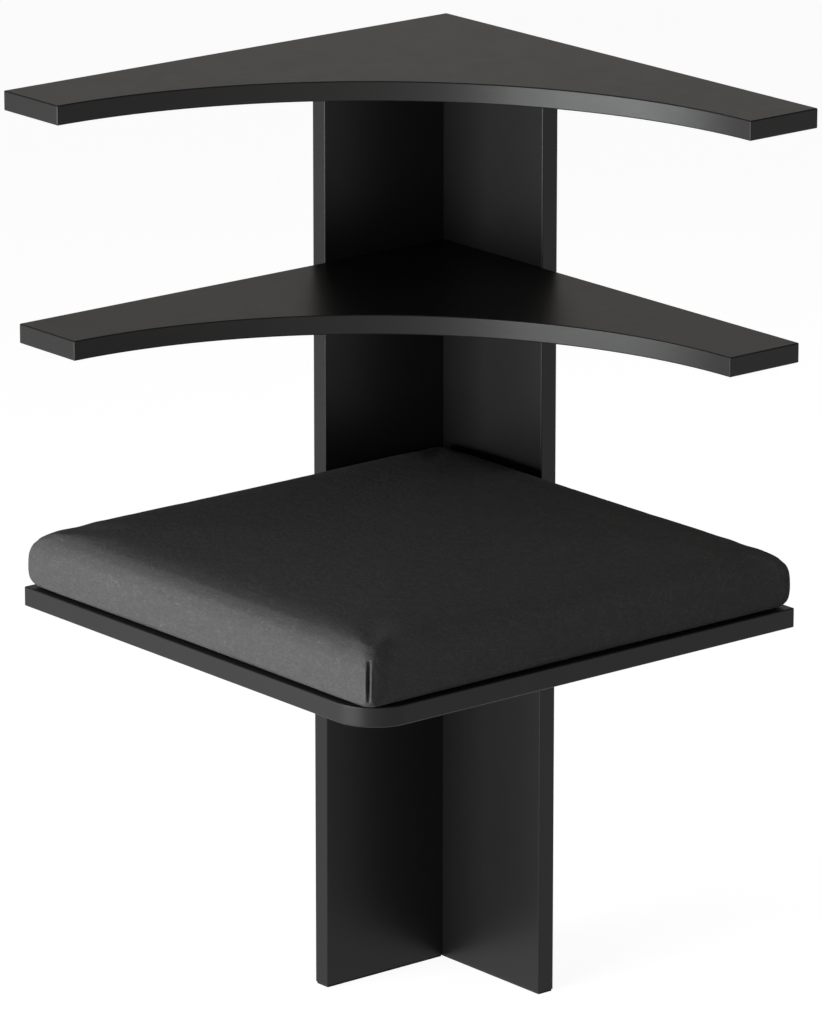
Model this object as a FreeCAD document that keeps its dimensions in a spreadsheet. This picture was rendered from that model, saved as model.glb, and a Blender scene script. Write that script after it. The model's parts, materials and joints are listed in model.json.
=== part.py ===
"""Corner bench: an L-shaped post of two steel plates, a seat board with a loose cushion, and two
quarter-round shelves. Millimetres, +Z up. The origin is on the floor under the middle of the square
footprint. The post stands in the corner at -X, +Y; the sitter faces +X, -Y."""
import FreeCAD, Part
import math
import os
import Sketcher
from FreeCAD import Rotation, Vector

# Driving dimensions
SIZES = [
    ("overall", 450, "side of the square footprint"),
    ("total_height", 810, "floor to the top shelf's top face"),
    ("plate", 16, "thickness of the uprights"),
    ("arm", 125, "width of each upright, measured inside the corner"),
    ("board", 16, "thickness of the seat board and shelves"),
    ("seat_top", 409, "floor to the seat board's top face"),
    ("middle_top", 625, "floor to the middle shelf's top face"),
    ("seat_side", 433, "side of the seat board"),
    ("seat_corner", 36, "radius of the seat board's front corner"),
    ("top_end", 70, "width of the top shelf's square-cut ends"),
    ("middle_end", 72, "width of the middle shelf's square-cut ends"),
    ("edge_round", 1, "rounding of the boards' and plates' exposed edges"),
    ("pad_thick", 2, "thickness of the felt foot pads"),
    ("pad_inset", 1, "felt set in from the plates' edges"),
    ("sheet", 4, "steel sheet of the corner brackets"),
    ("bend", 7, "outer radius of a bracket's bends"),
    ("seat_leg", 112, "seat bracket's length along each upright"),
    ("seat_reach", 150, "seat bracket's front point, along each arm"),
    ("seat_flange", 54, "depth of the seat bracket's flanges"),
    ("shelf_leg", 84, "shelf bracket's length along each upright"),
    ("shelf_reach", 76, "shelf bracket's front point, along each arm"),
    ("shelf_flange", 26, "depth of the shelf brackets' flanges"),
    ("bolt_margin", 16, "bolt centres from a flange's two ends"),
    ("screw_margin", 17, "board screw centres from a bracket's edges"),
    ("screw_dia", 6, "thread of all bolts and screws"),
    ("screw_length", 14, "bracket screws, under the head"),
    ("screw_head", 10.5, "diameter of a bracket screw's round head"),
    ("screw_dome", 3.3, "height of a bracket screw's round head"),
    ("screw_flat", 6, "diameter of the flat on a bracket screw's head"),
    ("cap_length", 34, "corner screws, under the head"),
    ("cap_head", 10, "diameter of a corner screw's head"),
    ("cap_height", 6, "height of a corner screw's head"),
    ("socket", 4, "hexagon socket of the screws, across flats"),
    ("socket_depth", 2, "depth of the hexagon socket"),
    ("corner_screw_count", 4, "screws along the post's corner"),
    ("corner_screw_low", 70, "lowest corner screw above the plates' feet"),
    ("corner_screw_pitch", 206, "distance between corner screws"),
    ("thread_play", 0.1, "a threaded hole's diameter over the screw's"),
    ("pass_play", 0.6, "a through hole's diameter over the screw's"),
    ("head_play", 1, "a counterbore's diameter over the screw head's"),
    ("tap_spare", 2, "a threaded hole's depth past the screw's tip"),
    ("head_sink", 0.5, "corner screw heads below the plate's face"),
    ("insert_dia", 10, "outside diameter of the threaded sleeves"),
    ("insert_length", 12, "length of the threaded sleeves"),
    ("insert_play", 0.1, "a sleeve hole's diameter over the sleeve's"),
    ("insert_spare", 0.5, "a sleeve hole's depth past the sleeve"),
    ("wall_hole", 7, "through holes for fixing the uprights to the walls"),
    ("wall_hole_in", 60, "wall holes from the inside corner"),
    ("wall_hole_low", 314, "lower wall hole above the floor"),
    ("wall_hole_pitch", 258, "upper wall hole above the lower one"),
    ("strip_thick", 1.2, "thickness of one hook or loop strip"),
    ("strip_width", 25, "width of a hook or loop strip"),
    ("strip_length", 300, "length of a hook or loop strip"),
    ("strip_inset", 70, "strips in from the cushion's two sides"),
    ("cushion_side", 430, "side of the cushion at its widest"),
    ("cushion_edge", 46, "cushion's height where its top rounding ends"),
    ("crown", 4, "rise of the cushion's top in the middle"),
    ("top_round", 20, "rounding of the cushion's top edges"),
    ("base_round", 9, "rounding of the cushion's lower edges"),
    ("cushion_corner", 7, "cushion's corners seen from above"),
    ("draw_in", 2, "cushion's sides pulled in between its corners"),
    ("cover", 1.5, "thickness of the cushion's cloth"),
    ("foam_ease", 0.5, "room between the foam and its cover"),
    ("wall_gap", 1.5, "cushion's clearance from the uprights"),
]

# Places that several pieces share, written as expressions on the sheet
HALF = "Sizes.overall / 2"
INNER_X = "(Sizes.plate - Sizes.overall / 2)"
INNER_Y = "(Sizes.overall / 2 - Sizes.plate)"
REACH = "(Sizes.overall - Sizes.plate)"
POST_HEIGHT = "(Sizes.total_height - Sizes.board - Sizes.pad_thick)"
CUSHION_BASE = "(Sizes.seat_top + 2 * Sizes.strip_thick)"

# Local x runs along the left arm and local y along the right arm
CORNER_TURN = Rotation(Vector(0, 0, 1), -90)
# Where a screw's head points
HEAD_TO_RIGHT = Rotation(Vector(0, 1, 0), 90)
HEAD_TO_FRONT = Rotation(Vector(1, 0, 0), 90)
HEAD_TO_BACK = Rotation(Vector(1, 0, 0), -90)
HEAD_DOWN = Rotation(Vector(1, 0, 0), 180)

# Sections of the cushion: steps round its lower edge, degrees round its upper one, shares of its top
BASE_STEPS = 3
EDGE_ANGLES = (0, 18, 36, 54, 72, 86)
CROWN_SHARES = (0.85, 0.65, 0.4, 0.15)

# A sketch's own origin, axes and point numbers
ORIGIN = (-1, 1)
X_AXIS = -1
Y_AXIS = -2
START, END, CENTRE = 1, 2, 3

doc = FreeCAD.newDocument("corner_bench")
sheet = doc.addObject("Spreadsheet::Sheet", "Sizes")
subparts = []


def fill_sheet():
    for row, (alias, value, note) in enumerate(SIZES, start=1):
        sheet.set(f"A{row}", note)
        sheet.set(f"B{row}", str(value))
        sheet.setAlias(f"B{row}", alias)
    doc.recompute()


def size(alias):
    return float(sheet.get(alias))


def bind(thing, **expressions):
    """Bind properties to the sheet; a double underscore in a name stands for a dot."""
    for name, expression in expressions.items():
        thing.setExpression(name.replace("__", "."), expression)


def place(thing, x, y, z, turn=None):
    if turn:
        thing.Placement = FreeCAD.Placement(Vector(), turn)
    bind(thing, Placement__Base__x=x, Placement__Base__y=y, Placement__Base__z=z)


def subpart(thing, label):
    thing.Label = label
    subparts.append(thing)
    return thing


def new_body(label, x, y, z, turn=None):
    body = doc.addObject("PartDesign::Body", label)
    place(body, x, y, z, turn)
    return subpart(body, label)


def new_sketch(body, role, shift="0"):
    """A sketch on one of the body's own planes, moved along the plane's normal."""
    sketch = body.newObject("Sketcher::SketchObject", f"{body.Name}_sketch")
    plane = next(f for f in body.Origin.OriginFeatures if f.Role == role)
    sketch.AttachmentSupport = [(plane, "")]
    sketch.MapMode = "FlatFace"
    sketch.setExpression("AttachmentOffset.Base.z", shift)
    return sketch


def hold(sketch, kind, *targets, to=None):
    """Add a constraint, tied to the sheet where it has a value."""
    if to is None:
        sketch.addConstraint(Sketcher.Constraint(kind, *targets))
        return
    index = sketch.addConstraint(Sketcher.Constraint(kind, *targets, float(sketch.evalExpression(to))))
    sketch.setExpression(f"Constraints[{index}]", to)


def line(sketch, x0, y0, x1, y1):
    return sketch.addGeometry(Part.LineSegment(Vector(x0, y0, 0), Vector(x1, y1, 0)))


def arc(sketch, x, y, radius, first, last):
    circle = Part.Circle(Vector(x, y, 0), Vector(0, 0, 1), radius)
    return sketch.addGeometry(Part.ArcOfCircle(circle, math.radians(first), math.radians(last)))


def join(sketch, *edges, smooth=()):
    """Close a loop of edges, each given as (edge, its first point, its last point).

    Edges listed as smooth run on into the next one without a corner."""
    for (edge, _, last), (following, first, _) in zip(edges, edges[1:] + edges[:1]):
        kind = "Tangent" if edge in smooth else "Coincident"
        hold(sketch, kind, edge, last, following, first)


def polygon(sketch, *corners):
    """A closed loop of straight sides, started from rough corners."""
    ends = zip(corners, corners[1:] + corners[:1])
    sides = [line(sketch, *here, *there) for here, there in ends]
    join(sketch, *((side, START, END) for side in sides))
    return sides


def rectangle(sketch, width, depth, inset="0"):
    """A rectangle with its first corner at the origin, or set in from a larger one."""
    sides = polygon(sketch, (1, 1), (9, 1), (9, 9), (1, 9))
    for side, kind in zip(sides, ("Horizontal", "Vertical") * 2):
        hold(sketch, kind, side)
    hold(sketch, "DistanceX", *ORIGIN, sides[0], START, to=inset)
    hold(sketch, "DistanceY", *ORIGIN, sides[0], START, to=inset)
    hold(sketch, "DistanceX", sides[0], START, sides[0], END, to=f"{width} - 2 * {inset}")
    hold(sketch, "DistanceY", sides[1], START, sides[1], END, to=f"{depth} - 2 * {inset}")


def pad(body, sketch, length, reverse=False):
    feature = body.newObject("PartDesign::Pad", f"{body.Name}_pad")
    feature.Profile = sketch
    feature.Reversed = reverse
    bind(feature, Length=length)
    doc.recompute()
    return feature


def drill(body, role, spots, diameter, depth, shift="0", reverse=False):
    """Round holes at (x, y) spots of a plane; a spot's y may be measured downwards."""
    before = body.Shape.Volume
    sketch = new_sketch(body, role, shift)
    for x, y, downwards in spots:
        hole = sketch.addGeometry(Part.Circle(Vector(9, -9 if downwards else 9, 0), Vector(0, 0, 1), 1))
        hold(sketch, "Diameter", hole, to=diameter)
        hold(sketch, "DistanceX", *ORIGIN, hole, CENTRE, to=x)
        ends = (hole, CENTRE, *ORIGIN) if downwards else (*ORIGIN, hole, CENTRE)
        hold(sketch, "DistanceY", *ends, to=y)
    feature = body.newObject("PartDesign::Pocket", f"{body.Name}_holes")
    feature.Profile = sketch
    feature.Reversed = reverse
    bind(feature, Length=depth)
    doc.recompute()
    if body.Shape.Volume >= before:
        raise RuntimeError(f"the holes in {body.Label} cut nothing")


def round_edges(body, feature, wanted=None):
    """Round the exposed edges: all of them, or those whose middle passes a test."""
    fillet = body.newObject("PartDesign::Fillet", f"{body.Name}_edges")
    edges = feature.Shape.Edges
    names = [f"Edge{i}" for i, e in enumerate(edges, start=1) if wanted is None or wanted(e.CenterOfMass)]
    fillet.Base = (feature, names)
    bind(fillet, Radius="Sizes.edge_round")
    doc.recompute()


class Bracket:
    """One folded corner bracket and the pieces that fix it under a board."""

    def __init__(self, name, board_top, kind):
        self.name = name
        self.under = f"({board_top} - Sizes.board)"
        self.leg = f"Sizes.{kind}_leg"
        self.reach = f"Sizes.{kind}_reach"
        self.depth = f"Sizes.{kind}_flange"
        first = "(Sizes.bend + Sizes.bolt_margin)"
        last = f"({self.leg} - Sizes.bolt_margin)"
        self.drop = f"((Sizes.bend + {self.depth}) / 2)"
        self.bolts = [first, last]
        if kind == "seat":
            self.bolts.insert(1, f"(({first} + {last}) / 2)")
        near = "(Sizes.bend + Sizes.screw_margin)"
        far = f"({self.leg} - Sizes.screw_margin)"
        tip = f"({self.reach} - Sizes.screw_margin)"
        self.screws = [(far, near), (near, far), (tip, tip)]


SEAT = Bracket("seat", "Sizes.seat_top", "seat")
MIDDLE = Bracket("middle_shelf", "Sizes.middle_top", "shelf")
TOP = Bracket("top_shelf", "Sizes.total_height", "shelf")
BRACKETS = [SEAT, MIDDLE, TOP]


def corner_screw_heights():
    count = int(size("corner_screw_count"))
    return [f"(Sizes.corner_screw_low + {i} * Sizes.corner_screw_pitch)" for i in range(count)]


def wall_hole_heights():
    low = "Sizes.wall_hole_low - Sizes.pad_thick"
    return [low, f"{low} + Sizes.wall_hole_pitch"]


def bolt_spots(start):
    """Where the brackets' bolts meet an upright, from the start of its own measure."""
    spots = []
    for bracket in BRACKETS:
        height = f"{bracket.under} - {bracket.drop} - Sizes.pad_thick"
        spots += [(f"{start} {along}", height, False) for along in bracket.bolts]
    return spots


def make_uprights():
    """The right plate covers the corner, and the left one butts against it."""
    width = "(Sizes.plate + Sizes.arm)"
    tap_depth = "Sizes.screw_length - Sizes.sheet + Sizes.tap_spare"
    tap = "Sizes.screw_dia + Sizes.thread_play"
    head_floor = "(Sizes.cap_height + Sizes.head_sink)"
    heights = corner_screw_heights()

    right = new_body("right_upright", f"-{HALF}", INNER_Y, "Sizes.pad_thick")
    sketch = new_sketch(right, "XY_Plane")
    rectangle(sketch, width, "Sizes.plate")
    blank = pad(right, sketch, POST_HEIGHT)
    middle = size("plate") / 2
    round_edges(right, blank, lambda p: upright_edge(p) and (p.x > middle or p.y > middle))
    drill(right, "XZ_Plane", bolt_spots("Sizes.plate +"), tap, tap_depth)
    walls = [("Sizes.plate + Sizes.wall_hole_in", z, False) for z in wall_hole_heights()]
    drill(right, "XZ_Plane", walls, "Sizes.wall_hole", "Sizes.plate")
    spots = [("Sizes.plate / 2", z, False) for z in heights]
    drill(right, "XZ_Plane", spots, "Sizes.screw_dia + Sizes.pass_play", "Sizes.plate")
    head_bore = "Sizes.cap_head + Sizes.head_play"
    drill(right, "XZ_Plane", spots, head_bore, head_floor, "-Sizes.plate", reverse=True)

    left = new_body("left_upright", f"-{HALF}", f"{INNER_Y} - Sizes.arm", "Sizes.pad_thick")
    sketch = new_sketch(left, "XY_Plane")
    rectangle(sketch, "Sizes.plate", "Sizes.arm")
    blank = pad(left, sketch, POST_HEIGHT)
    middle_y = size("arm") / 2
    round_edges(left, blank, lambda p: upright_edge(p) and p.y < middle_y)
    drill(left, "YZ_Plane", bolt_spots("Sizes.arm -"), tap, tap_depth, "Sizes.plate")
    walls = [("Sizes.arm - Sizes.wall_hole_in", z, False) for z in wall_hole_heights()]
    drill(left, "YZ_Plane", walls, "Sizes.wall_hole", "Sizes.plate", "Sizes.plate")
    depth = f"Sizes.cap_length - (Sizes.plate - {head_floor}) + Sizes.tap_spare"
    drill(left, "XZ_Plane", spots, tap, depth, "-Sizes.arm", reverse=True)


def upright_edge(middle):
    """True for an upright's vertical edges, whose middles lie at half its height."""
    height = size("total_height") - size("board") - size("pad_thick")
    return abs(middle.z - height / 2) < height / 4


def make_foot_pads():
    right = new_body("right_foot_pad", f"-{HALF}", INNER_Y, "0")
    sketch = new_sketch(right, "XY_Plane")
    rectangle(sketch, "(Sizes.plate + Sizes.arm)", "Sizes.plate", "Sizes.pad_inset")
    pad(right, sketch, "Sizes.pad_thick")
    left = new_body("left_foot_pad", f"-{HALF}", f"{INNER_Y} - Sizes.arm", "0")
    sketch = new_sketch(left, "XY_Plane")
    rectangle(sketch, "Sizes.plate", "Sizes.arm", "Sizes.pad_inset")
    pad(left, sketch, "Sizes.pad_thick")


def shelf_outline(sketch, reach, end):
    """A square corner with square-cut ends and a quarter-circle front about the far corner."""
    back = line(sketch, 0, 0, 90, 0)
    right_end = line(sketch, 90, 0, 90, 20)
    front = arc(sketch, 90, 90, 70, 180, 270)
    left_end = line(sketch, 20, 90, 0, 90)
    side = line(sketch, 0, 90, 0, 0)
    join(
        sketch,
        (back, START, END),
        (right_end, START, END),
        (front, END, START),
        (left_end, START, END),
        (side, START, END),
    )
    hold(sketch, "Coincident", back, START, *ORIGIN)
    for edge in (back, left_end):
        hold(sketch, "Horizontal", edge)
    for edge in (right_end, side):
        hold(sketch, "Vertical", edge)
    hold(sketch, "DistanceX", back, START, back, END, to=reach)
    hold(sketch, "DistanceY", right_end, START, right_end, END, to=end)
    hold(sketch, "Equal", back, side)
    hold(sketch, "Equal", right_end, left_end)
    hold(sketch, "Vertical", front, CENTRE, front, END)


def seat_outline(sketch):
    """A square with one rounded corner, opposite the post."""
    back = line(sketch, 0, 0, 90, 0)
    right = line(sketch, 90, 0, 90, 70)
    corner = arc(sketch, 70, 70, 20, 0, 90)
    front = line(sketch, 70, 90, 0, 90)
    side = line(sketch, 0, 90, 0, 0)
    loop = [(edge, START, END) for edge in (back, right, corner, front, side)]
    join(sketch, *loop, smooth=(right, corner))
    hold(sketch, "Coincident", back, START, *ORIGIN)
    for edge in (back, front):
        hold(sketch, "Horizontal", edge)
    for edge in (right, side):
        hold(sketch, "Vertical", edge)
    hold(sketch, "Radius", corner, to="Sizes.seat_corner")
    hold(sketch, "DistanceX", back, START, back, END, to="Sizes.seat_side")
    hold(sketch, "DistanceY", *ORIGIN, side, START, to="Sizes.seat_side")


def make_board(label, x, y, bracket, outline, set_back="0"):
    """A board with rounded edges and sleeve holes in its underside."""
    body = new_body(label, x, y, bracket.under, CORNER_TURN)
    sketch = new_sketch(body, "XY_Plane")
    outline(sketch)
    round_edges(body, pad(body, sketch, "Sizes.board"))
    spots = [(f"{a} + {set_back}", f"{b} + {set_back}", False) for a, b in bracket.screws]
    depth = "Sizes.insert_length + Sizes.insert_spare"
    drill(body, "XY_Plane", spots, "Sizes.insert_dia + Sizes.insert_play", depth, reverse=True)


def make_boards():
    make_board("seat_board", INNER_X, INNER_Y, SEAT, seat_outline)
    middle = lambda sketch: shelf_outline(sketch, REACH, "Sizes.middle_end")
    make_board("middle_shelf", INNER_X, INNER_Y, MIDDLE, middle)
    top = lambda sketch: shelf_outline(sketch, "Sizes.overall", "Sizes.top_end")
    make_board("top_shelf", f"-{HALF}", HALF, TOP, top, "Sizes.plate")


def bracket_plate(sketch, bracket):
    """A kite whose corner is notched by the two bends."""
    sides = polygon(sketch, (5, 5), (50, 5), (70, 70), (5, 50))
    hold(sketch, "Horizontal", sides[0])
    hold(sketch, "Vertical", sides[3])
    for kind in ("DistanceX", "DistanceY"):
        hold(sketch, kind, *ORIGIN, sides[0], START, to="Sizes.bend")
        hold(sketch, kind, *ORIGIN, sides[2], START, to=bracket.reach)
    hold(sketch, "DistanceX", *ORIGIN, sides[1], START, to=bracket.leg)
    hold(sketch, "DistanceY", *ORIGIN, sides[3], START, to=bracket.leg)


def flange_profile(sketch, bracket):
    """The section of a flange: a bend of sheet from the plate's edge down the upright."""
    outer_arc = arc(sketch, 7, -7, 7, 90, 180)
    outer = line(sketch, 0, -7, 0, -50)
    foot = line(sketch, 0, -50, 4, -50)
    inner = line(sketch, 4, -50, 4, -7)
    inner_arc = arc(sketch, 7, -7, 3, 90, 180)
    root = line(sketch, 7, -4, 7, 0)
    join(
        sketch,
        (outer_arc, START, END),
        (outer, START, END),
        (foot, START, END),
        (inner, START, END),
        (inner_arc, END, START),
        (root, START, END),
        smooth=(outer_arc, inner),
    )
    for edge in (outer, inner, root):
        hold(sketch, "Vertical", edge)
    hold(sketch, "Horizontal", foot)
    hold(sketch, "Coincident", inner_arc, CENTRE, outer_arc, CENTRE)
    hold(sketch, "PointOnObject", outer, START, Y_AXIS)
    hold(sketch, "PointOnObject", outer_arc, START, X_AXIS)
    hold(sketch, "Vertical", outer_arc, START, outer_arc, CENTRE)
    hold(sketch, "Radius", outer_arc, to="Sizes.bend")
    hold(sketch, "DistanceX", foot, START, foot, END, to="Sizes.sheet")
    hold(sketch, "DistanceY", foot, START, *ORIGIN, to=bracket.depth)


def make_bracket(bracket):
    """A kite of sheet under the board, with a flange folded down each upright."""
    body = new_body(f"{bracket.name}_bracket", INNER_X, INNER_Y, bracket.under, CORNER_TURN)
    sketch = new_sketch(body, "XY_Plane")
    bracket_plate(sketch, bracket)
    pad(body, sketch, "Sizes.sheet", reverse=True)
    flange = f"{bracket.leg} - Sizes.bend"
    sketch = new_sketch(body, "YZ_Plane", "Sizes.bend")
    flange_profile(sketch, bracket)
    pad(body, sketch, flange)
    sketch = new_sketch(body, "XZ_Plane", "-Sizes.bend")
    flange_profile(sketch, bracket)
    pad(body, sketch, flange, reverse=True)
    hole = "Sizes.screw_dia + Sizes.pass_play"
    bolts = [(along, bracket.drop, True) for along in bracket.bolts]
    drill(body, "XZ_Plane", bolts, hole, "Sizes.sheet")
    drill(body, "YZ_Plane", bolts, hole, "Sizes.sheet", reverse=True)
    drill(body, "XY_Plane", [(a, b, False) for a, b in bracket.screws], hole, "Sizes.sheet")


def cylinder(name, diameter, height, z="0"):
    solid = doc.addObject("Part::Cylinder", name)
    bind(solid, Radius=f"({diameter}) / 2", Height=height, Placement__Base__z=z)
    return solid


def cut(name, base, tool):
    result = doc.addObject("Part::Cut", name)
    result.Base = base
    result.Tool = tool
    return result


def hex_socket(name, head_top):
    socket = doc.addObject("Part::Prism", name)
    socket.Polygon = 6
    bind(socket, Circumradius="Sizes.socket / sqrt(3)", Height="Sizes.socket_depth")
    bind(socket, Placement__Base__z=f"{head_top} - Sizes.socket_depth")
    return socket


def screw_master(name, head, head_height, length):
    """A socket screw with its head's underside at the origin and its shank below."""
    shank = cylinder(f"{name}_shank", "Sizes.screw_dia", length, f"-{length}")
    socket = hex_socket(f"{name}_socket", head_height)
    fused = doc.addObject("Part::Fuse", f"{name}_blank")
    fused.Base = shank
    fused.Tool = head
    return cut(name, fused, socket)


def dome_head():
    """A round head: a wide base that narrows to a flat round the socket."""
    head = doc.addObject("Part::Cone", "dome_head")
    bind(head, Radius1="Sizes.screw_head / 2", Radius2="Sizes.screw_flat / 2", Height="Sizes.screw_dome")
    return head


def group(label, master, places):
    """Copies of one fastener, each a separate solid at an (x, y, z, turn), in one node."""
    copies = []
    for index, (x, y, z, turn) in enumerate(places):
        copy = doc.addObject("App::Link", f"{label}_{index}")
        copy.LinkedObject = master
        place(copy, x, y, z, turn)
        copies.append(copy)
    compound = doc.addObject("Part::Compound", label)
    compound.Links = copies
    return subpart(compound, label)


def make_fasteners():
    dome_screw = screw_master("dome_screw", dome_head(), "Sizes.screw_dome", "Sizes.screw_length")
    cap_head = cylinder("cap_head", "Sizes.cap_head", "Sizes.cap_height")
    cap_screw = screw_master("cap_screw", cap_head, "Sizes.cap_height", "Sizes.cap_length")
    bore = cylinder("sleeve_bore", "Sizes.screw_dia + Sizes.thread_play", "Sizes.insert_length")
    sleeve = cut("sleeve", cylinder("sleeve_blank", "Sizes.insert_dia", "Sizes.insert_length"), bore)

    beside = f"{INNER_X} - Sizes.plate / 2"
    behind = f"{HALF} - Sizes.cap_height - Sizes.head_sink"
    heights = [f"Sizes.pad_thick + {z}" for z in corner_screw_heights()]
    group("corner_screws", cap_screw, [(beside, behind, z, HEAD_TO_BACK) for z in heights])

    left_face = f"{INNER_X} + Sizes.sheet"
    right_face = f"{INNER_Y} - Sizes.sheet"
    for bracket in BRACKETS:
        height = f"{bracket.under} - {bracket.drop}"
        bolts = []
        for along in bracket.bolts:
            bolts.append((left_face, f"{INNER_Y} - {along}", height, HEAD_TO_RIGHT))
            bolts.append((f"{INNER_X} + {along}", right_face, height, HEAD_TO_FRONT))
        group(f"{bracket.name}_bracket_bolts", dome_screw, bolts)
        spots = [(f"{INNER_X} + {b}", f"{INNER_Y} - {a}") for a, b in bracket.screws]
        head_seat = f"{bracket.under} - Sizes.sheet"
        group(f"{bracket.name}_screws", dome_screw, [(x, y, head_seat, HEAD_DOWN) for x, y in spots])
        group(f"{bracket.name}_inserts", sleeve, [(x, y, bracket.under, Rotation()) for x, y in spots])


def make_strips(label, base):
    """Two strips across the seat, one near each side of the cushion."""
    strips = []
    edge = "Sizes.wall_gap + Sizes.strip_inset"
    far = "Sizes.wall_gap + Sizes.cushion_side - Sizes.strip_inset - Sizes.strip_width"
    middle = "(Sizes.wall_gap + Sizes.cushion_side / 2)"
    for index, along in enumerate((edge, far)):
        strip = doc.addObject("Part::Box", f"{label}_{index}")
        bind(strip, Length="Sizes.strip_width", Width="Sizes.strip_length", Height="Sizes.strip_thick")
        place(strip, f"{INNER_X} + {along}", f"{INNER_Y} - {middle} - Sizes.strip_length / 2", base)
        strips.append(strip)
    compound = doc.addObject("Part::Compound", label)
    compound.Links = strips
    subpart(compound, label)


def cushion_section(half, z, corner, draw_in):
    """A square seen from above, with rounded corners and sides that curve inwards."""
    flat = half - corner
    slant = corner * math.sqrt(0.5)
    edges = []
    for quarter in range(4):
        turn = Rotation(Vector(0, 0, 1), 90 * quarter)
        side = (Vector(-flat, -half, z), Vector(0, draw_in - half, z), Vector(flat, -half, z))
        bend = (side[2], Vector(flat + slant, -flat - slant, z), Vector(half, -flat, z))
        for points in (side, bend):
            edges.append(Part.Arc(*(turn.multVec(p) for p in points)).toShape())
    return Part.Wire(edges)


def cushion_levels(margin, floor):
    """(distance in from the widest line, height) of the sections of the form set in by a margin."""
    low = size("base_round") - margin
    high = size("top_round") - margin
    edge = size("cushion_edge") - margin
    centre = size("base_round")
    levels = []
    start = math.acos(min((centre - floor) / low, 1.0))
    for step in range(BASE_STEPS + 1):
        angle = start + (math.pi / 2 - start) * step / BASE_STEPS
        levels.append((margin + low * (1 - math.sin(angle)), centre - low * math.cos(angle)))
    for angle in EDGE_ANGLES:
        bend = math.radians(angle)
        levels.append((margin + high * (1 - math.cos(bend)), edge - high + high * math.sin(bend)))
    flat = size("cushion_side") / 2 - size("top_round")
    for share in CROWN_SHARES:
        levels.append((size("top_round") + flat * (1 - share), edge + size("crown") * (1 - share ** 2)))
    return levels


def cushion_wires(levels):
    half = size("cushion_side") / 2
    wires = []
    for inset, z in levels:
        corner = size("cushion_corner") * (1 + inset / half)
        share = 1 - inset / half
        wires.append(cushion_section(half - inset, z, corner, size("draw_in") * share))
    return wires


def cushion_form(levels):
    return Part.makeLoft(cushion_wires(levels), True, True)


def cushion_piece(label, shape):
    piece = doc.addObject("Part::Feature", label)
    piece.Shape = shape
    middle = "(Sizes.wall_gap + Sizes.cushion_side / 2)"
    place(piece, f"{INNER_X} + {middle}", f"{INNER_Y} - {middle}", CUSHION_BASE)
    subpart(piece, label)


def make_cushion():
    """A cloth cover sewn to a base panel, round a foam core that rests on the panel."""
    cloth = size("cover")
    outside = cushion_levels(0, cloth)
    cavity = cushion_form(cushion_levels(cloth, cloth))
    cushion_piece("cushion_cover", cushion_form(outside).cut(cavity).Solids[0])
    floor = (size("base_round"), 0)
    cushion_piece("cushion_base_panel", cushion_form([floor, outside[0]]))
    foam = cushion_levels(cloth + size("foam_ease"), cloth + size("foam_ease"))
    foam[0] = (foam[0][0], cloth)
    cushion_piece("cushion_foam", cushion_form(foam))


def check_and_write():
    doc.recompute()
    failed = [o.Label for o in doc.Objects if "Invalid" in o.State or "Error" in o.State]
    for piece in subparts:
        if piece.Shape.isNull() or not piece.Shape.isValid() or not piece.Shape.Solids:
            failed.append(piece.Label)
    if failed:
        raise RuntimeError(f"failed: {failed}")
    os.makedirs("parts", exist_ok=True)
    for piece in subparts:
        piece.Shape.exportStep(f"parts/{piece.Label}.step")
        print(piece.Label, len(piece.Shape.Solids), round(piece.Shape.Volume))


fill_sheet()
make_uprights()
make_foot_pads()
make_boards()
for each in BRACKETS:
    make_bracket(each)
make_fasteners()
make_strips("hook_strips", "Sizes.seat_top")
make_strips("loop_strips", "Sizes.seat_top + Sizes.strip_thick")
make_cushion()
check_and_write()
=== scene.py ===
import bmesh
import bpy
import json
import math
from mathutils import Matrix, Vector


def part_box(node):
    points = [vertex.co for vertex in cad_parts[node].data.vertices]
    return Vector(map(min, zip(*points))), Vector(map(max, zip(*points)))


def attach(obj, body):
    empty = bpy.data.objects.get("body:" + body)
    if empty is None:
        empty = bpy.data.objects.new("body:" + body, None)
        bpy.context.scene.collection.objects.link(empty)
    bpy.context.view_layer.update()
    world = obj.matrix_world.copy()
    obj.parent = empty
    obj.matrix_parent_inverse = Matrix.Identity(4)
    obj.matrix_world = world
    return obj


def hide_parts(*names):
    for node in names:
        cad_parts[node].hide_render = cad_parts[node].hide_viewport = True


# The corner bench's looks: satin black plates and boards, and a charcoal cloth cushion.
# Lengths are in metres and powers in watts.

# Camera at the photograph's angle
CAMERA_PLACE = (4.337, -3.566, 2.094)
CAMERA_AIM = (0.004, -0.001, 0.477)
CAMERA_LENS = 260
CAMERA_RANGE = 100

# Soft light panels: place, aim, width, height, power and colour
PANELS = {
    "key": ((-0.15, -2.3, 0.47), (0, 0, 0.5), 2.1, 0.62, 92, (0.98, 1, 1)),
    "fill": ((2.6, -0.9, 1.3), (0, 0, 0.5), 1.2, 1.2, 3, (1, 1, 1)),
    "back": ((-1.85, 1.55, 1.5), (0, 0, 0.7), 1.6, 0.8, 1.5, (1, 0.94, 0.84)),
    "rear": ((0.3, 2.4, 0.9), (0, 0, 0.5), 1.6, 1.2, 9, (1, 1, 1)),
}
WORLD_LEVEL = 0.18

# Floor
FLOOR_SIZE = 30
FLOOR_COLOUR = 0.3
FLOOR_CLOUDS = 0.01
FLOOR_GLOW = 0.9

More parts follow.
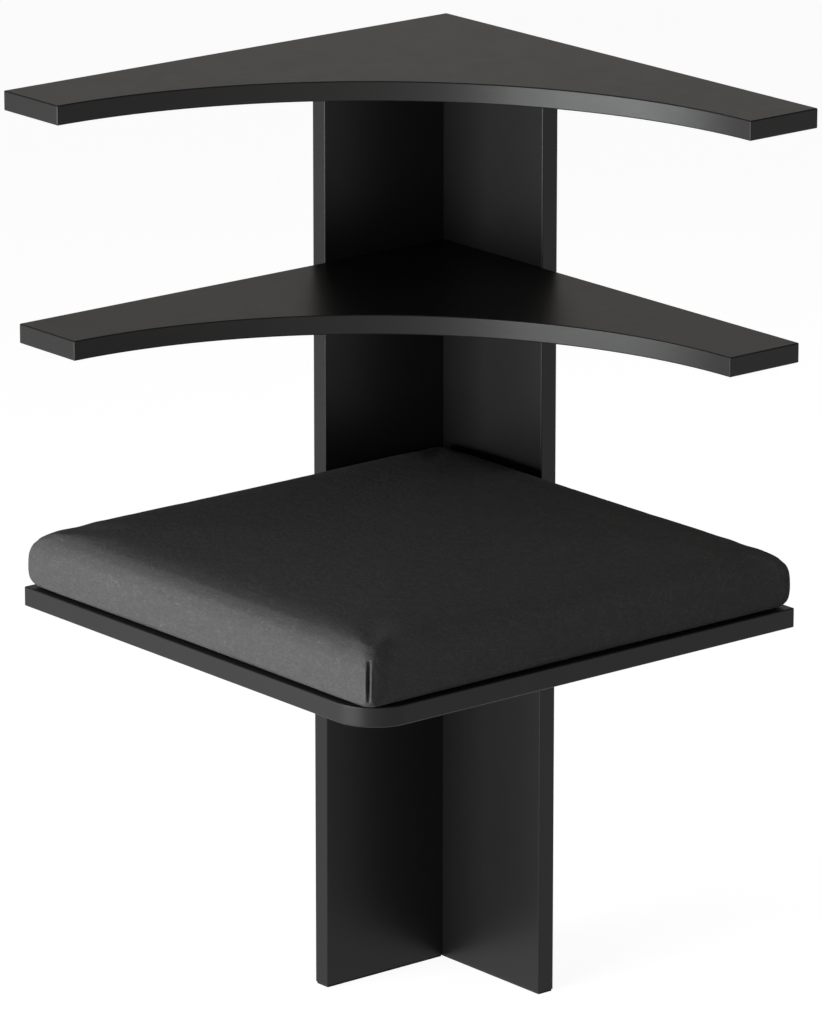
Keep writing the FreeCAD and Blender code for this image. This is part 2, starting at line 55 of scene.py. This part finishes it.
# Finishes: the darkest and the palest shade of each
STEEL_COAT = ((0.0096, 0.0096, 0.0094), (0.0108, 0.0108, 0.0106))
BOARD_LACQUER = ((0.01, 0.0098, 0.0094), (0.0112, 0.011, 0.0106))
BRACKET_COAT = ((0.0092, 0.009, 0.0088), (0.0104, 0.0102, 0.01))
SCREW_STEEL = ((0.05, 0.05, 0.052), (0.11, 0.11, 0.115))
SLEEVE_BRASS = ((0.5, 0.36, 0.14), (0.68, 0.52, 0.24))
FOOT_FELT = ((0.03, 0.03, 0.03), (0.07, 0.07, 0.07))
HOOK_TAPE = ((0.012, 0.012, 0.012), (0.05, 0.05, 0.05))
LOOP_TAPE = ((0.016, 0.016, 0.016), (0.045, 0.045, 0.045))
BASE_CLOTH = ((0.014, 0.014, 0.014), (0.035, 0.035, 0.035))
PAINT_IOR = 1.31
RUBBED_GAIN = 3

# Cushion cloth: darker between the fibres, plain on them and paler at their tips; the dark between them
# is partly painted shade and the pale tips partly a painted highlight, over the cloth's own mottle
CLOTH_DARK_AND_GAP_SHADE = (0.07, 0.0695, 0.0683)
CLOTH_PLAIN = (0.086, 0.0855, 0.0842)
CLOTH_PALE_AND_TIP_HIGHLIGHT = (0.118, 0.1173, 0.1156)
FIBRE_WIDTH = 0.0016
FIBRE_LIES = ((1, 0.28, 1), (0.28, 1, 1))

# Cushion: mesh and cloth simulation
VOXEL = 0.005
SIM_FRAMES = 20
SIM_PRESSURE = 4
SIM_STIFFNESS = 2
SWELL_LIMIT = 0.003

# Cushion: how it fills out and lies on the seat; zones are shares of its half width
SIDE_ROOM = 0.0007
SIDE_ZONE = 0.6
FULLNESS = 0.0013
FULLNESS_POWER = 6
RIM_GAP = 0.0004
RIM_WIDTH = 0.03
RIM_FLAT = 0.01
RIM_HEIGHT = 0.016
CORNER_DROP = 0.002
CORNER_ZONE_START = 0.7
CORNER_ZONE_END = 0.9
CORNER_HEIGHT = 0.04

# Cushion: sewn corners; a lip's place is counted in slit widths
CORNER_TURNS = (45, 135, 225, 315)
SEAM_SPAN = 0.012
SEAM_DEPTH = 0.0045
SEAM_WIDTH = 0.0011
SEAM_LIP = 0.0007
LIP_PLACE = 2.2
SEAM_BOTTOM = 0.004
SEAM_TOP = 0.036
SEAM_CUTS = 3

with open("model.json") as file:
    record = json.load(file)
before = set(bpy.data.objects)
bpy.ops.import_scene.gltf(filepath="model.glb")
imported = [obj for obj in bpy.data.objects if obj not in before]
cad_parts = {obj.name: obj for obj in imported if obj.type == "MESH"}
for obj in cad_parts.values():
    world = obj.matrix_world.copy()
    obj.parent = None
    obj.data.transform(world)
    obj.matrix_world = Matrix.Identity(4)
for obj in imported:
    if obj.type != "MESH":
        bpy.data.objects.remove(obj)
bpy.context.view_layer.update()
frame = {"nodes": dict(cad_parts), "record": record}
nodes = frame["nodes"]
scene = bpy.context.scene


class Surface:
    """A material's node tree, with short calls for the nodes that are used here."""

    # The colour sockets of a mix node
    MIX_INPUTS = (6, 7)
    MIX_OUTPUT = 2

    def __init__(self, name):
        self.material = bpy.data.materials.new(name)
        self.material.use_nodes = True
        self.tree = self.material.node_tree
        self.shader = self.tree.nodes["Principled BSDF"]
        self.place = self.add("ShaderNodeTexCoord").outputs["Object"]

    def add(self, kind, **settings):
        node = self.tree.nodes.new(kind)
        for name, value in settings.items():
            setattr(node, name, value)
        return node

    def link(self, source, target):
        self.tree.links.new(source, target)

    def set(self, **values):
        """Fixed values on the shader's own sockets; an underscore stands for a space."""
        for name, value in values.items():
            self.shader.inputs[name.replace("_", " ")].default_value = value

    def noise(self, grain, detail=3, warp=0, stretch=(1, 1, 1)):
        """Noise with lumps of about one grain."""
        mapping = self.add("ShaderNodeMapping")
        mapping.inputs["Scale"].default_value = stretch
        self.link(self.place, mapping.inputs["Vector"])
        node = self.add("ShaderNodeTexNoise")
        node.inputs["Scale"].default_value = 1 / grain
        node.inputs["Detail"].default_value = detail
        node.inputs["Distortion"].default_value = warp
        self.link(mapping.outputs["Vector"], node.inputs["Vector"])
        return node.outputs["Fac"]

    def cells(self, grain):
        """Distance from the middles of scattered cells, each about one grain wide."""
        node = self.add("ShaderNodeTexVoronoi")
        node.inputs["Scale"].default_value = 1 / grain
        self.link(self.place, node.inputs["Vector"])
        return node.outputs["Distance"]

    def threads(self, direction, thread):
        """Waves like threads laid side by side."""
        node = self.add("ShaderNodeTexWave", bands_direction=direction)
        node.inputs["Scale"].default_value = 0.314 / thread
        node.inputs["Distortion"].default_value = 0.6
        self.link(self.place, node.inputs["Vector"])
        return node.outputs["Fac"]

    def math(self, operation, first, second):
        """Join two sockets, or a socket and a number."""
        node = self.add("ShaderNodeMath", operation=operation)
        for value, socket in zip((first, second), node.inputs):
            if isinstance(value, (int, float)):
                socket.default_value = value
            else:
                self.link(value, socket)
        return node.outputs[0]

    def fit(self, factor, start, end, low, high):
        """Turn the range from start to end into the range from low to high."""
        node = self.add("ShaderNodeMapRange")
        node.inputs["From Min"].default_value = start
        node.inputs["From Max"].default_value = end
        node.inputs["To Min"].default_value = low
        node.inputs["To Max"].default_value = high
        self.link(factor, node.inputs["Value"])
        return node.outputs["Result"]

    def spread(self, factor, low, high):
        """Spread the middle of a noise over a range of values."""
        return self.fit(factor, 0.3, 0.7, low, high)

    def colours(self, factor, *stops):
        """A colour ramp through (position, colour) stops."""
        node = self.add("ShaderNodeValToRGB")
        elements = node.color_ramp.elements
        while len(elements) < len(stops):
            elements.new(0.5)
        for element, (position, colour) in zip(elements, stops):
            element.position = position
            element.color = (*colour, 1)
        self.link(factor, node.inputs["Fac"])
        return node.outputs["Color"]

    def mix(self, factor, first, second):
        """Mix two colours, each a socket or a fixed colour."""
        node = self.add("ShaderNodeMix", data_type="RGBA")
        self.link(factor, node.inputs["Factor"])
        for colour, index in zip((first, second), self.MIX_INPUTS):
            if isinstance(colour, tuple):
                node.inputs[index].default_value = (*colour, 1)
            else:
                self.link(colour, node.inputs[index])
        return node.outputs[self.MIX_OUTPUT]

    def bump(self, height, depth, below=None):
        """A relief of the given depth, over the one below where there is one."""
        node = self.add("ShaderNodeBump")
        node.inputs["Distance"].default_value = depth
        self.link(height, node.inputs["Height"])
        if below:
            self.link(below, node.inputs["Normal"])
        return node.outputs["Normal"]

    def worn_edges(self, reach):
        """1 along the sharp edges, 0 on the faces."""
        rounded = self.add("ShaderNodeBevel", samples=6)
        rounded.inputs["Radius"].default_value = reach
        plain = self.add("ShaderNodeNewGeometry").outputs["Normal"]
        turn = self.add("ShaderNodeVectorMath", operation="DOT_PRODUCT")
        self.link(rounded.outputs["Normal"], turn.inputs[0])
        self.link(plain, turn.inputs[1])
        return self.fit(turn.outputs["Value"], 0.97, 0.8, 0, 1)

    def finish(self, colour, roughness, normal):
        self.link(colour, self.shader.inputs["Base Color"])
        self.link(roughness, self.shader.inputs["Roughness"])
        self.link(normal, self.shader.inputs["Normal"])
        return self.material


def black_paint(name, dark, light, peel):
    """Satin black with a fine orange peel, faint haze and edges that are rubbed a little paler."""
    surface = Surface(name)
    surface.set(IOR=PAINT_IOR)
    haze = surface.noise(grain=0.16, detail=2)
    speckle = surface.noise(grain=0.0016, detail=2)
    smears = surface.noise(grain=0.03, detail=5, warp=1.2)
    body = surface.colours(haze, (0.3, dark), (0.7, light))
    rubbed = surface.math("MULTIPLY", surface.worn_edges(reach=0.0012), speckle)
    colour = surface.mix(rubbed, body, tuple(RUBBED_GAIN * value for value in light))
    skin = surface.bump(surface.noise(peel, detail=1), depth=0.00003)
    normal = surface.bump(speckle, depth=0.00001, below=skin)
    return surface.finish(colour, surface.spread(smears, 0.35, 0.37), normal)


def bare_metal(name, dark, light, roughness, grain):
    """Turned or blackened metal with fine marks."""
    surface = Surface(name)
    surface.set(Metallic=1)
    stain = surface.noise(grain=0.006, detail=4)
    marks = surface.noise(grain, detail=2, stretch=(1, 1, 6))
    colour = surface.colours(stain, (0.3, dark), (0.7, light))
    normal = surface.bump(marks, depth=0.00003)
    return surface.finish(colour, surface.spread(stain, *roughness), normal)


def cushion_cloth():
    """Brushed charcoal cloth: short fibres that lie in two directions, and soft shading by touch."""
    surface = Surface("cushion_cloth")
    surface.set(Specular_IOR_Level=0, Sheen_Weight=0.02, Sheen_Roughness=0.4)
    touch = surface.noise(grain=0.009, detail=3, warp=1)
    layers = [surface.noise(FIBRE_WIDTH, detail=2, warp=1.5, stretch=lie) for lie in FIBRE_LIES]
    fibres = surface.math("MAXIMUM", *layers)
    # Fibre colour follows the fibres' bump: painted shade where they are low and a painted highlight
    # where they are high, on top of their random mottle.
    strands_shade_and_highlight = surface.colours(fibres, (0.44, CLOTH_DARK_AND_GAP_SHADE), (0.58, CLOTH_PLAIN), (0.76, CLOTH_PALE_AND_TIP_HIGHLIGHT))
    colour = surface.mix(surface.spread(touch, 0, 0.7), strands_shade_and_highlight, CLOTH_DARK_AND_GAP_SHADE)
    normal = surface.bump(fibres, depth=0.0005, below=surface.bump(touch, depth=0.0004))
    return surface.finish(colour, surface.spread(touch, 0.85, 0.95), normal)


def woven_cloth(name, dark, light, thread):
    """Plain cloth woven of threads in two directions."""
    surface = Surface(name)
    surface.set(Specular_IOR_Level=0.2, Sheen_Weight=0.1)
    weave = surface.math("MAXIMUM", surface.threads("X", thread), surface.threads("Y", thread))
    patches = surface.noise(grain=0.02)
    colour = surface.colours(weave, (0.2, dark), (0.9, light))
    normal = surface.bump(weave, depth=0.0003)
    return surface.finish(colour, surface.spread(patches, 0.85, 0.95), normal)


def fuzzy(name, dark, light, grain, depth):
    """Felt or tape: a matt surface of small lumps."""
    surface = Surface(name)
    surface.set(Specular_IOR_Level=0.15)
    lumps = surface.cells(grain)
    patches = surface.noise(grain=0.012, detail=4)
    colour = surface.mix(patches, dark, surface.colours(lumps, (0.1, light), (0.7, dark)))
    normal = surface.bump(lumps, depth)
    return surface.finish(colour, surface.spread(patches, 0.85, 0.97), normal)


def floor_paper():
    """Pale matt floor, near white to the camera and in reflections; it is open from below."""
    surface = Surface("floor_paper")
    surface.set(Roughness=1, Specular_IOR_Level=0, Emission_Color=(1, 1, 1, 1))
    dark = (FLOOR_COLOUR,) * 3
    light = (FLOOR_COLOUR + FLOOR_CLOUDS,) * 3
    tint = surface.colours(surface.noise(grain=0.4), (0.3, dark), (0.7, light))
    path = surface.add("ShaderNodeLightPath").outputs
    seen = surface.math("MAXIMUM", path["Is Camera Ray"], path["Is Glossy Ray"])
    seen = surface.math("MAXIMUM", seen, path["Is Transmission Ray"])
    glow = surface.math("MULTIPLY", seen, FLOOR_GLOW)
    underside = surface.add("ShaderNodeNewGeometry").outputs["Backfacing"]
    clear = surface.add("ShaderNodeBsdfTransparent")
    either = surface.add("ShaderNodeMixShader")
    surface.link(tint, surface.shader.inputs["Base Color"])
    surface.link(glow, surface.shader.inputs["Emission Strength"])
    surface.link(underside, either.inputs[0])
    surface.link(surface.shader.outputs[0], either.inputs[1])
    surface.link(clear.outputs[0], either.inputs[2])
    surface.link(either.outputs[0], surface.tree.nodes["Material Output"].inputs["Surface"])
    return surface.material


def paint_frame():
    """Give the CAD nodes the finish of their slot; the cushion brings its own cloth."""
    finishes = {
        "black_steel": black_paint("steel_coat", *STEEL_COAT, peel=0.0022),
        "black_board": black_paint("board_lacquer", *BOARD_LACQUER, peel=0.0035),
        "bracket_steel": black_paint("bracket_coat", *BRACKET_COAT, peel=0.0012),
        "screw_steel": bare_metal("screw_steel", *SCREW_STEEL, roughness=(0.3, 0.5), grain=0.0006),
        "sleeve_brass": bare_metal("sleeve_brass", *SLEEVE_BRASS, roughness=(0.25, 0.4), grain=0.0004),
        "foot_felt": fuzzy("foot_felt", *FOOT_FELT, grain=0.0009, depth=0.0003),
        "hook_tape": fuzzy("hook_tape", *HOOK_TAPE, grain=0.0011, depth=0.0006),
        "loop_tape": fuzzy("loop_tape", *LOOP_TAPE, grain=0.0007, depth=0.0004),
    }
    for entry in frame["record"]["subparts"]:
        if entry["material_slot"] in finishes:
            for place in nodes[entry["node"]].material_slots:
                place.material = finishes[entry["material_slot"]]


def add_object(name, content):
    thing = bpy.data.objects.new(name, content)
    scene.collection.objects.link(thing)
    return thing


def applied(thing):
    """Replace an object's mesh by what its modifiers make of it."""
    shape = thing.evaluated_get(bpy.context.evaluated_depsgraph_get())
    mesh = bpy.data.meshes.new_from_object(shape)
    thing.modifiers.clear()
    thing.data = mesh


def cushion_plan():
    """The cover's middle, its half width and the height of the cushion's underside."""
    low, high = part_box("cushion_cover")
    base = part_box("cushion_base_panel")[0].z
    return (low + high) / 2, (high.x - low.x) / 2, base


def cushion_blank():
    """The foam's form, as wide as the cover and closed down to the cushion's underside."""
    middle, half, base = cushion_plan()
    foam_low, foam_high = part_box("cushion_foam")
    wider = 2 * half / (foam_high.x - foam_low.x)
    taller = (foam_high.z - base) / (foam_high.z - foam_low.z)
    mesh = nodes["cushion_foam"].data.copy()
    mesh.materials.clear()
    for vertex in mesh.vertices:
        vertex.co.x = middle.x + (vertex.co.x - middle.x) * wider
        vertex.co.y = middle.y + (vertex.co.y - middle.y) * wider
        vertex.co.z = base + (vertex.co.z - foam_low.z) * taller
    cushion = add_object("cushion", mesh)
    remesh = cushion.modifiers.new("remesh", "REMESH")
    remesh.mode = "VOXEL"
    remesh.voxel_size = VOXEL
    applied(cushion)
    return cushion


def swell(cushion):
    """Blow the cover up a little against its own cloth, flat where it lies on the seat."""
    start = [vertex.co.copy() for vertex in cushion.data.vertices]
    base = min(point.z for point in start)
    flat = [index for index, point in enumerate(start) if point.z < base + VOXEL / 2]
    held = cushion.vertex_groups.new(name="held")
    held.add(flat, 1, "REPLACE")
    cloth = cushion.modifiers.new("cloth", "CLOTH")
    cloth.settings.use_pressure = True
    cloth.settings.uniform_pressure_force = SIM_PRESSURE
    cloth.settings.vertex_group_mass = held.name
    cloth.settings.effector_weights.gravity = 0
    cloth.settings.bending_stiffness = SIM_STIFFNESS
    cloth.collision_settings.use_collision = False
    cloth.point_cache.frame_end = SIM_FRAMES
    for step in range(1, SIM_FRAMES + 1):
        scene.frame_set(step)
    applied(cushion)
    scene.frame_set(1)
    for vertex, before in zip(cushion.data.vertices, start):
        move = vertex.co - before
        vertex.co = before + move * (SWELL_LIMIT / (SWELL_LIMIT + move.length))


def ramp(value, start, end):
    """0 up to the start, 1 from the end on, and smooth between them."""
    share = min(max((value - start) / (end - start), 0), 1)
    return share * share * (3 - 2 * share)


def fill_out(cushion):
    """Fill the cover out to its width, and let its rim sink to the seat and its corners droop."""
    middle, half, base = cushion_plan()
    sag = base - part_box("seat_board")[1].z - RIM_GAP
    reach = max(abs(vertex.co.x - middle.x) for vertex in cushion.data.vertices)
    wider = (half + SIDE_ROOM) / reach
    for vertex in cushion.data.vertices:
        offset = (vertex.co - middle) * wider
        for axis in (0, 1):
            along = offset[1 - axis] / half
            share = max(1 - along ** FULLNESS_POWER, 0) * ramp(abs(offset[axis]), SIDE_ZONE * half, half)
            vertex.co[axis] = middle[axis] + offset[axis] + math.copysign(FULLNESS * share, offset[axis])
        inner, outer = sorted((abs(offset.x), abs(offset.y)))
        rise = vertex.co.z - base
        rim = ramp(outer, half - RIM_WIDTH, half - RIM_FLAT) * (1 - ramp(rise, 0, RIM_HEIGHT))
        corner = ramp(inner, CORNER_ZONE_START * half, CORNER_ZONE_END * half)
        droop = corner * ramp(rise, RIM_HEIGHT, CORNER_HEIGHT)
        vertex.co.z -= sag * rim + CORNER_DROP * droop


def subdivide(cushion):
    smooth = cushion.modifiers.new("smooth", "SUBSURF")
    smooth.levels = 1
    smooth.render_levels = 1
    applied(cushion)


def sew_corner(work, middle, base, outward):
    """A short upright seam: a slit between two turned-in lips of cloth."""
    across = Vector((-outward.y, outward.x, 0))
    reach = max((vertex.co - middle).dot(outward) for vertex in work.verts)

    def near(vertex):
        offset = vertex.co - middle
        return abs(offset.dot(across)) < SEAM_SPAN and offset.dot(outward) > reach - 2 * SEAM_SPAN

    edges = [edge for edge in work.edges if all(near(vertex) for vertex in edge.verts)]
    bmesh.ops.subdivide_edges(work, edges=edges, cuts=SEAM_CUTS, use_grid_fill=True)
    for vertex in filter(near, work.verts):
        height = (vertex.co.z - base - SEAM_BOTTOM) / (SEAM_TOP - SEAM_BOTTOM)
        if 0 < height < 1:
            side = abs((vertex.co - middle).dot(across)) / SEAM_WIDTH
            slit = SEAM_DEPTH * math.exp(-(side ** 2))
            lips = SEAM_LIP * math.exp(-((side - LIP_PLACE) ** 2))
            taper = math.sqrt(math.sin(math.pi * height))
            vertex.co += outward * (taper * (lips - slit))


def sew_corners(cushion):
    """Sew the cushion's four upright edges."""
    middle, _, base = cushion_plan()
    work = bmesh.new()
    work.from_mesh(cushion.data)
    for turn in CORNER_TURNS:
        angle = math.radians(turn)
        sew_corner(work, middle, base, Vector((math.cos(angle), math.sin(angle), 0)))
    work.to_mesh(cushion.data)
    work.free()


def dress_cushion(cushion):
    """Brushed cloth all round, and plain woven cloth underneath."""
    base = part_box("cushion_base_panel")[0].z
    cushion.data.materials.append(cushion_cloth())
    cushion.data.materials.append(woven_cloth("base_cloth", *BASE_CLOTH, thread=0.0008))
    for face in cushion.data.polygons:
        face.use_smooth = True
        if face.center.z < base + VOXEL / 4:
            face.material_index = 1


def make_cushion():
    cushion = cushion_blank()
    swell(cushion)
    fill_out(cushion)
    subdivide(cushion)
    sew_corners(cushion)
    dress_cushion(cushion)
    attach(cushion, "cushion")
    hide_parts("cushion_cover", "cushion_base_panel", "cushion_foam")


def make_floor():
    mesh = bpy.data.meshes.new("floor")
    half = FLOOR_SIZE / 2
    corners = [(-half, -half, 0), (half, -half, 0), (half, half, 0), (-half, half, 0)]
    mesh.from_pydata(corners, [], [(0, 1, 2, 3)])
    mesh.materials.append(floor_paper())
    add_object("floor", mesh)


def make_world():
    """Even soft light from all round."""
    world = bpy.data.worlds.new("studio")
    world.use_nodes = True
    scene.world = world
    backdrop = world.node_tree.nodes["Background"]
    backdrop.inputs["Color"].default_value = (1, 1, 1, 1)
    backdrop.inputs["Strength"].default_value = WORLD_LEVEL


def aim(thing, place, target):
    thing.location = place
    thing.rotation_mode = "QUATERNION"
    thing.rotation_quaternion = (Vector(target) - Vector(place)).to_track_quat("-Z", "Y")


def make_lights():
    for name, panel in PANELS.items():
        place, target, width, height, power, colour = panel
        lamp = bpy.data.lights.new(name, "AREA")
        lamp.shape = "RECTANGLE"
        lamp.size = width
        lamp.size_y = height
        lamp.energy = power
        lamp.color = colour
        light = add_object(name, lamp)
        light.visible_camera = False
        aim(light, place, target)


def make_camera():
    lens = bpy.data.cameras.new("camera")
    lens.lens = CAMERA_LENS
    lens.clip_end = CAMERA_RANGE
    camera = add_object("camera", lens)
    aim(camera, CAMERA_PLACE, CAMERA_AIM)
    scene.camera = camera


scene.view_settings.view_transform = "Standard"
paint_frame()
make_cushion()
make_floor()
make_world()
make_lights()
make_camera()
